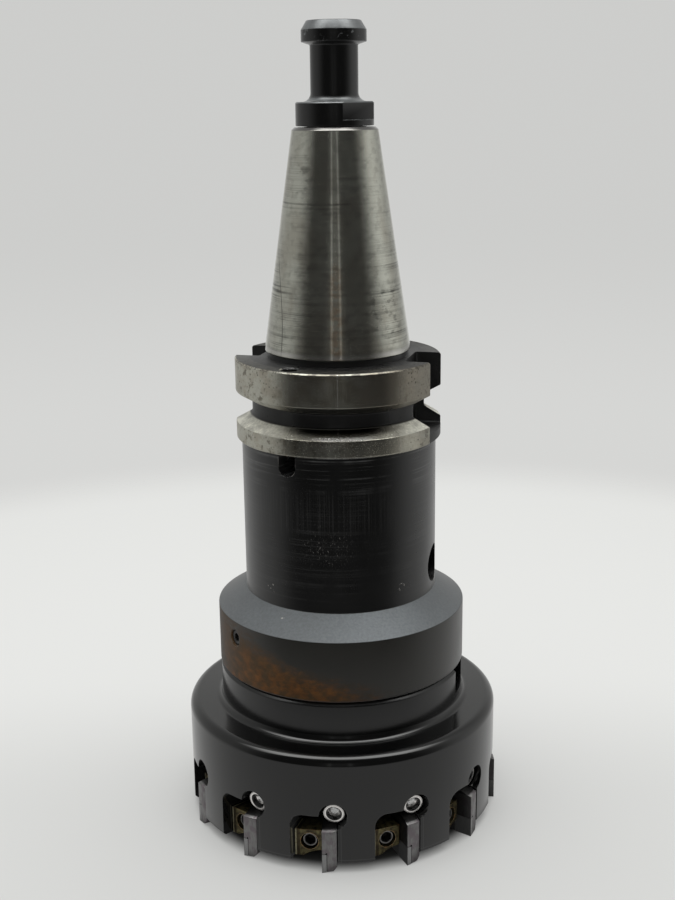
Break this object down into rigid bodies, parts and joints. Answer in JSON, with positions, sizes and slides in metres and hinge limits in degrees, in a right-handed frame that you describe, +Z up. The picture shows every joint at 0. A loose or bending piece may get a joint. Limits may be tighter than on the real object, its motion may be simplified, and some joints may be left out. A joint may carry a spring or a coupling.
{
  "type": "face mill",
  "caption": "Face mill with adjustable diamond-tipped blades, bolted on a steep-taper shell-mill arbor with a retention knob.",
  "frame": {"origin": "centre of the cutting plane, where the twelve blade tips lie, on the tool's axis", "axes": "+Z up the tool's axis, from the blades to the spindle and the retention knob; -Y is the tool's front, with the blade nearest the front 5.1 degrees to its left"},
  "size_m": [0.0992, 0.0992, 0.245],
  "materials": {
    "arbor_steel": "ground taper, worn bare flange, black oxide shank",
    "knob_black_oxide": "black oxide, worn bright on the head",
    "cutter_black": "satin black",
    "blade_carbide": "ground carbide with a diamond tip",
    "wedge_bronze": "dull yellow-brown",
    "adjusting_screw_steel": "bright turned steel",
    "dark_screw": "black oxide"
  },
  "bodies": {
    "tool_body": {"retention_knob": "knob_black_oxide", "arbor": "arbor_steel", "cutter_body": "cutter_black", "lock_screw": "dark_screw", "drive_key_1": "dark_screw", "drive_key_2": "dark_screw", "key_screw_1": "dark_screw", "key_screw_2": "dark_screw", "coolant_plug_1": "dark_screw", "coolant_plug_2": "dark_screw", "balance_screw_1": "dark_screw", "balance_screw_2": "dark_screw"},
    "blade_01": {"blade_01": "blade_carbide"},
    "adjusting_screw_01": {"adjusting_screw_01": "adjusting_screw_steel"},
    "wedge_01": {"wedge_01": "wedge_bronze"},
    "wedge_screw_01": {"wedge_screw_01": "dark_screw"},
    "blade_02": {"blade_02": "blade_carbide"},
    "adjusting_screw_02": {"adjusting_screw_02": "adjusting_screw_steel"},
    "wedge_02": {"wedge_02": "wedge_bronze"},
    "wedge_screw_02": {"wedge_screw_02": "dark_screw"},
    "blade_03": {"blade_03": "blade_carbide"},
    "adjusting_screw_03": {"adjusting_screw_03": "adjusting_screw_steel"},
    "wedge_03": {"wedge_03": "wedge_bronze"},
    "wedge_screw_03": {"wedge_screw_03": "dark_screw"},
    "blade_04": {"blade_04": "blade_carbide"},
    "adjusting_screw_04": {"adjusting_screw_04": "adjusting_screw_steel"},
    "wedge_04": {"wedge_04": "wedge_bronze"},
    "wedge_screw_04": {"wedge_screw_04": "dark_screw"},
    "blade_05": {"blade_05": "blade_carbide"},
    "adjusting_screw_05": {"adjusting_screw_05": "adjusting_screw_steel"},
    "wedge_05": {"wedge_05": "wedge_bronze"},
    "wedge_screw_05": {"wedge_screw_05": "dark_screw"},
    "blade_06": {"blade_06": "blade_carbide"},
    "adjusting_screw_06": {"adjusting_screw_06": "adjusting_screw_steel"},
    "wedge_06": {"wedge_06": "wedge_bronze"},
    "wedge_screw_06": {"wedge_screw_06": "dark_screw"},
    "blade_07": {"blade_07": "blade_carbide"},
    "adjusting_screw_07": {"adjusting_screw_07": "adjusting_screw_steel"},
    "wedge_07": {"wedge_07": "wedge_bronze"},
    "wedge_screw_07": {"wedge_screw_07": "dark_screw"},
    "blade_08": {"blade_08": "blade_carbide"},
    "adjusting_screw_08": {"adjusting_screw_08": "adjusting_screw_steel"},
    "wedge_08": {"wedge_08": "wedge_bronze"},
    "wedge_screw_08": {"wedge_screw_08": "dark_screw"},
    "blade_09": {"blade_09": "blade_carbide"},
    "adjusting_screw_09": {"adjusting_screw_09": "adjusting_screw_steel"},
    "wedge_09": {"wedge_09": "wedge_bronze"},
    "wedge_screw_09": {"wedge_screw_09": "dark_screw"},
    "blade_10": {"blade_10": "blade_carbide"},
    "adjusting_screw_10": {"adjusting_screw_10": "adjusting_screw_steel"},
    "wedge_10": {"wedge_10": "wedge_bronze"},
    "wedge_screw_10": {"wedge_screw_10": "dark_screw"},
    "blade_11": {"blade_11": "blade_carbide"},
    "adjusting_screw_11": {"adjusting_screw_11": "adjusting_screw_steel"},
    "wedge_11": {"wedge_11": "wedge_bronze"},
    "wedge_screw_11": {"wedge_screw_11": "dark_screw"},
    "blade_12": {"blade_12": "blade_carbide"},
    "adjusting_screw_12": {"adjusting_screw_12": "adjusting_screw_steel"},
    "wedge_12": {"wedge_12": "wedge_bronze"},
    "wedge_screw_12": {"wedge_screw_12": "dark_screw"}
  },
  "joints": [
    {"name": "adjusting_screw_01_turn", "type": "hinge", "parent": "tool_body", "child": "adjusting_screw_01", "pos_m": [-0.00292, -0.04694, 0.01819], "axis": [0.1418, 0.9819, 0.1253], "range_deg": [-360, 720]},
    {"name": "blade_01_slide", "type": "slide", "parent": "tool_body", "child": "blade_01", "axis": [0, 0, -1], "range_m": [-0.000138, 0.000276]},
    {"name": "wedge_01_slide", "type": "slide", "parent": "tool_body", "child": "wedge_01", "axis": [-0.2105, -0.9776, 0], "range_m": [0, 0.0016]},
    {"name": "wedge_screw_01_turn", "type": "hinge", "parent": "wedge_01", "child": "wedge_screw_01", "pos_m": [-0.01024, -0.04331, 0.0075], "axis": [-0.2105, -0.9776, 0], "range_deg": [0, 720]},
    {"name": "adjusting_screw_02_turn", "type": "hinge", "parent": "tool_body", "child": "adjusting_screw_02", "pos_m": [0.02094, -0.04211, 0.01819], "axis": [-0.3681, 0.9213, 0.1253], "range_deg": [-360, 720]},
    {"name": "blade_02_slide", "type": "slide", "parent": "tool_body", "child": "blade_02", "axis": [0, 0, -1], "range_m": [-0.000138, 0.000276]},
    {"name": "wedge_02_slide", "type": "slide", "parent": "tool_body", "child": "wedge_02", "axis": [0.3065, -0.9519, 0], "range_m": [0, 0.0016]},
    {"name": "wedge_screw_02_turn", "type": "hinge", "parent": "wedge_02", "child": "wedge_screw_02", "pos_m": [0.01279, -0.04262, 0.0075], "axis": [0.3065, -0.9519, 0], "range_deg": [0, 720]},
    {"name": "adjusting_screw_03_turn", "type": "hinge", "parent": "tool_body", "child": "adjusting_screw_03", "pos_m": [0.03919, -0.026, 0.01819], "axis": [-0.7794, 0.6138, 0.1253], "range_deg": [-360, 720]},
    {"name": "blade_03_slide", "type": "slide", "parent": "tool_body", "child": "blade_03", "axis": [0, 0, -1], "range_m": [-0.000138, 0.000276]},
    {"name": "wedge_03_slide", "type": "slide", "parent": "tool_body", "child": "wedge_03", "axis": [0.7414, -0.6711, 0], "range_m": [0, 0.0016]},
    {"name": "wedge_screw_03_turn", "type": "hinge", "parent": "wedge_03", "child": "wedge_screw_03", "pos_m": [0.03239, -0.03052, 0.0075], "axis": [0.7414, -0.6711, 0], "range_deg": [0, 720]},
    {"name": "adjusting_screw_04_turn", "type": "hinge", "parent": "tool_body", "child": "adjusting_screw_04", "pos_m": [0.04694, -0.00292, 0.01819], "axis": [-0.9819, 0.1418, 0.1253], "range_deg": [-360, 720]},
    {"name": "blade_04_slide", "type": "slide", "parent": "tool_body", "child": "blade_04", "axis": [0, 0, -1], "range_m": [-0.000138, 0.000276]},
    {"name": "wedge_04_slide", "type": "slide", "parent": "tool_body", "child": "wedge_04", "axis": [0.9776, -0.2105, 0], "range_m": [0, 0.0016]},
    {"name": "wedge_screw_04_turn", "type": "hinge", "parent": "wedge_04", "child": "wedge_screw_04", "pos_m": [0.04331, -0.01024, 0.0075], "axis": [0.9776, -0.2105, 0], "range_deg": [0, 720]},
    {"name": "adjusting_screw_05_turn", "type": "hinge", "parent": "tool_body", "child": "adjusting_screw_05", "pos_m": [0.04211, 0.02094, 0.01819], "axis": [-0.9213, -0.3681, 0.1253], "range_deg": [-360, 720]},
    {"name": "blade_05_slide", "type": "slide", "parent": "tool_body", "child": "blade_05", "axis": [0, 0, -1], "range_m": [-0.000138, 0.000276]},
    {"name": "wedge_05_slide", "type": "slide", "parent": "tool_body", "child": "wedge_05", "axis": [0.9519, 0.3065, 0], "range_m": [0, 0.0016]},
    {"name": "wedge_screw_05_turn", "type": "hinge", "parent": "wedge_05", "child": "wedge_screw_05", "pos_m": [0.04262, 0.01279, 0.0075], "axis": [0.9519, 0.3065, 0], "range_deg": [0, 720]},
    {"name": "adjusting_screw_06_turn", "type": "hinge", "parent": "tool_body", "child": "adjusting_screw_06", "pos_m": [0.026, 0.03919, 0.01819], "axis": [-0.6138, -0.7794, 0.1253], "range_deg": [-360, 720]},
    {"name": "blade_06_slide", "type": "slide", "parent": "tool_body", "child": "blade_06", "axis": [0, 0, -1], "range_m": [-0.000138, 0.000276]},
    {"name": "wedge_06_slide", "type": "slide", "parent": "tool_body", "child": "wedge_06", "axis": [0.6711, 0.7414, 0], "range_m": [0, 0.0016]},
    {"name": "wedge_screw_06_turn", "type": "hinge", "parent": "wedge_06", "child": "wedge_screw_06", "pos_m": [0.03052, 0.03239, 0.0075], "axis": [0.6711, 0.7414, 0], "range_deg": [0, 720]},
    {"name": "adjusting_screw_07_turn", "type": "hinge", "parent": "tool_body", "child": "adjusting_screw_07", "pos_m": [0.00292, 0.04694, 0.01819], "axis": [-0.1418, -0.9819, 0.1253], "range_deg": [-360, 720]},
    {"name": "blade_07_slide", "type": "slide", "parent": "tool_body", "child": "blade_07", "axis": [0, 0, -1], "range_m": [-0.000138, 0.000276]},
    {"name": "wedge_07_slide", "type": "slide", "parent": "tool_body", "child": "wedge_07", "axis": [0.2105, 0.9776, 0], "range_m": [0, 0.0016]},
    {"name": "wedge_screw_07_turn", "type": "hinge", "parent": "wedge_07", "child": "wedge_screw_07", "pos_m": [0.01024, 0.04331, 0.0075], "axis": [0.2105, 0.9776, 0], "range_deg": [0, 720]},
    {"name": "adjusting_screw_08_turn", "type": "hinge", "parent": "tool_body", "child": "adjusting_screw_08", "pos_m": [-0.02094, 0.04211, 0.01819], "axis": [0.3681, -0.9213, 0.1253], "range_deg": [-360, 720]},
    {"name": "blade_08_slide", "type": "slide", "parent": "tool_body", "child": "blade_08", "axis": [0, 0, -1], "range_m": [-0.000138, 0.000276]},
    {"name": "wedge_08_slide", "type": "slide", "parent": "tool_body", "child": "wedge_08", "axis": [-0.3065, 0.9519, 0], "range_m": [0, 0.0016]},
    {"name": "wedge_screw_08_turn", "type": "hinge", "parent": "wedge_08", "child": "wedge_screw_08", "pos_m": [-0.01279, 0.04262, 0.0075], "axis": [-0.3065, 0.9519, 0], "range_deg": [0, 720]},
    {"name": "adjusting_screw_09_turn", "type": "hinge", "parent": "tool_body", "child": "adjusting_screw_09", "pos_m": [-0.03919, 0.026, 0.01819], "axis": [0.7794, -0.6138, 0.1253], "range_deg": [-360, 720]},
    {"name": "blade_09_slide", "type": "slide", "parent": "tool_body", "child": "blade_09", "axis": [0, 0, -1], "range_m": [-0.000138, 0.000276]},
    {"name": "wedge_09_slide", "type": "slide", "parent": "tool_body", "child": "wedge_09", "axis": [-0.7414, 0.6711, 0], "range_m": [0, 0.0016]},
    {"name": "wedge_screw_09_turn", "type": "hinge", "parent": "wedge_09", "child": "wedge_screw_09", "pos_m": [-0.03239, 0.03052, 0.0075], "axis": [-0.7414, 0.6711, 0], "range_deg": [0, 720]},
    {"name": "adjusting_screw_10_turn", "type": "hinge", "parent": "tool_body", "child": "adjusting_screw_10", "pos_m": [-0.04694, 0.00292, 0.01819], "axis": [0.9819, -0.1418, 0.1253], "range_deg": [-360, 720]},
    {"name": "blade_10_slide", "type": "slide", "parent": "tool_body", "child": "blade_10", "axis": [0, 0, -1], "range_m": [-0.000138, 0.000276]},
    {"name": "wedge_10_slide", "type": "slide", "parent": "tool_body", "child": "wedge_10", "axis": [-0.9776, 0.2105, 0], "range_m": [0, 0.0016]},
    {"name": "wedge_screw_10_turn", "type": "hinge", "parent": "wedge_10", "child": "wedge_screw_10", "pos_m": [-0.04331, 0.01024, 0.0075], "axis": [-0.9776, 0.2105, 0], "range_deg": [0, 720]},
    {"name": "adjusting_screw_11_turn", "type": "hinge", "parent": "tool_body", "child": "adjusting_screw_11", "pos_m": [-0.04211, -0.02094, 0.01819], "axis": [0.9213, 0.3681, 0.1253], "range_deg": [-360, 720]},
    {"name": "blade_11_slide", "type": "slide", "parent": "tool_body", "child": "blade_11", "axis": [0, 0, -1], "range_m": [-0.000138, 0.000276]},
    {"name": "wedge_11_slide", "type": "slide", "parent": "tool_body", "child": "wedge_11", "axis": [-0.9519, -0.3065, 0], "range_m": [0, 0.0016]},
    {"name": "wedge_screw_11_turn", "type": "hinge", "parent": "wedge_11", "child": "wedge_screw_11", "pos_m": [-0.04262, -0.01279, 0.0075], "axis": [-0.9519, -0.3065, 0], "range_deg": [0, 720]},
    {"name": "adjusting_screw_12_turn", "type": "hinge", "parent": "tool_body", "child": "adjusting_screw_12", "pos_m": [-0.026, -0.03919, 0.01819], "axis": [0.6138, 0.7794, 0.1253], "range_deg": [-360, 720]},
    {"name": "blade_12_slide", "type": "slide", "parent": "tool_body", "child": "blade_12", "axis": [0, 0, -1], "range_m": [-0.000138, 0.000276]},
    {"name": "wedge_12_slide", "type": "slide", "parent": "tool_body", "child": "wedge_12", "axis": [-0.6711, -0.7414, 0], "range_m": [0, 0.0016]},
    {"name": "wedge_screw_12_turn", "type": "hinge", "parent": "wedge_12", "child": "wedge_screw_12", "pos_m": [-0.03052, -0.03239, 0.0075], "axis": [-0.6711, -0.7414, 0], "range_deg": [0, 720]}
  ],
  "couplings": [
    {"joint": "adjusting_screw_01_turn", "follows": "blade_01_slide", "rad_per_m": 45530},
    {"joint": "wedge_screw_01_turn", "follows": "wedge_01_slide", "rad_per_m": 7853.9},
    {"joint": "adjusting_screw_02_turn", "follows": "blade_02_slide", "rad_per_m": 45530},
    {"joint": "wedge_screw_02_turn", "follows": "wedge_02_slide", "rad_per_m": 7853.9},
    {"joint": "adjusting_screw_03_turn", "follows": "blade_03_slide", "rad_per_m": 45530},
    {"joint": "wedge_screw_03_turn", "follows": "wedge_03_slide", "rad_per_m": 7853.9},
    {"joint": "adjusting_screw_04_turn", "follows": "blade_04_slide", "rad_per_m": 45530},
    {"joint": "wedge_screw_04_turn", "follows": "wedge_04_slide", "rad_per_m": 7853.9},
    {"joint": "adjusting_screw_05_turn", "follows": "blade_05_slide", "rad_per_m": 45530},
    {"joint": "wedge_screw_05_turn", "follows": "wedge_05_slide", "rad_per_m": 7853.9},
    {"joint": "adjusting_screw_06_turn", "follows": "blade_06_slide", "rad_per_m": 45530},
    {"joint": "wedge_screw_06_turn", "follows": "wedge_06_slide", "rad_per_m": 7853.9},
    {"joint": "adjusting_screw_07_turn", "follows": "blade_07_slide", "rad_per_m": 45530},
    {"joint": "wedge_screw_07_turn", "follows": "wedge_07_slide", "rad_per_m": 7853.9},
    {"joint": "adjusting_screw_08_turn", "follows": "blade_08_slide", "rad_per_m": 45530},
    {"joint": "wedge_screw_08_turn", "follows": "wedge_08_slide", "rad_per_m": 7853.9},
    {"joint": "adjusting_screw_09_turn", "follows": "blade_09_slide", "rad_per_m": 45530},
    {"joint": "wedge_screw_09_turn", "follows": "wedge_09_slide", "rad_per_m": 7853.9},
    {"joint": "adjusting_screw_10_turn", "follows": "blade_10_slide", "rad_per_m": 45530},
    {"joint": "wedge_screw_10_turn", "follows": "wedge_10_slide", "rad_per_m": 7853.9},
    {"joint": "adjusting_screw_11_turn", "follows": "blade_11_slide", "rad_per_m": 45530},
    {"joint": "wedge_screw_11_turn", "follows": "wedge_11_slide", "rad_per_m": 7853.9},
    {"joint": "adjusting_screw_12_turn", "follows": "blade_12_slide", "rad_per_m": 45530},
    {"joint": "wedge_screw_12_turn", "follows": "wedge_12_slide", "rad_per_m": 7853.9}
  ]
}
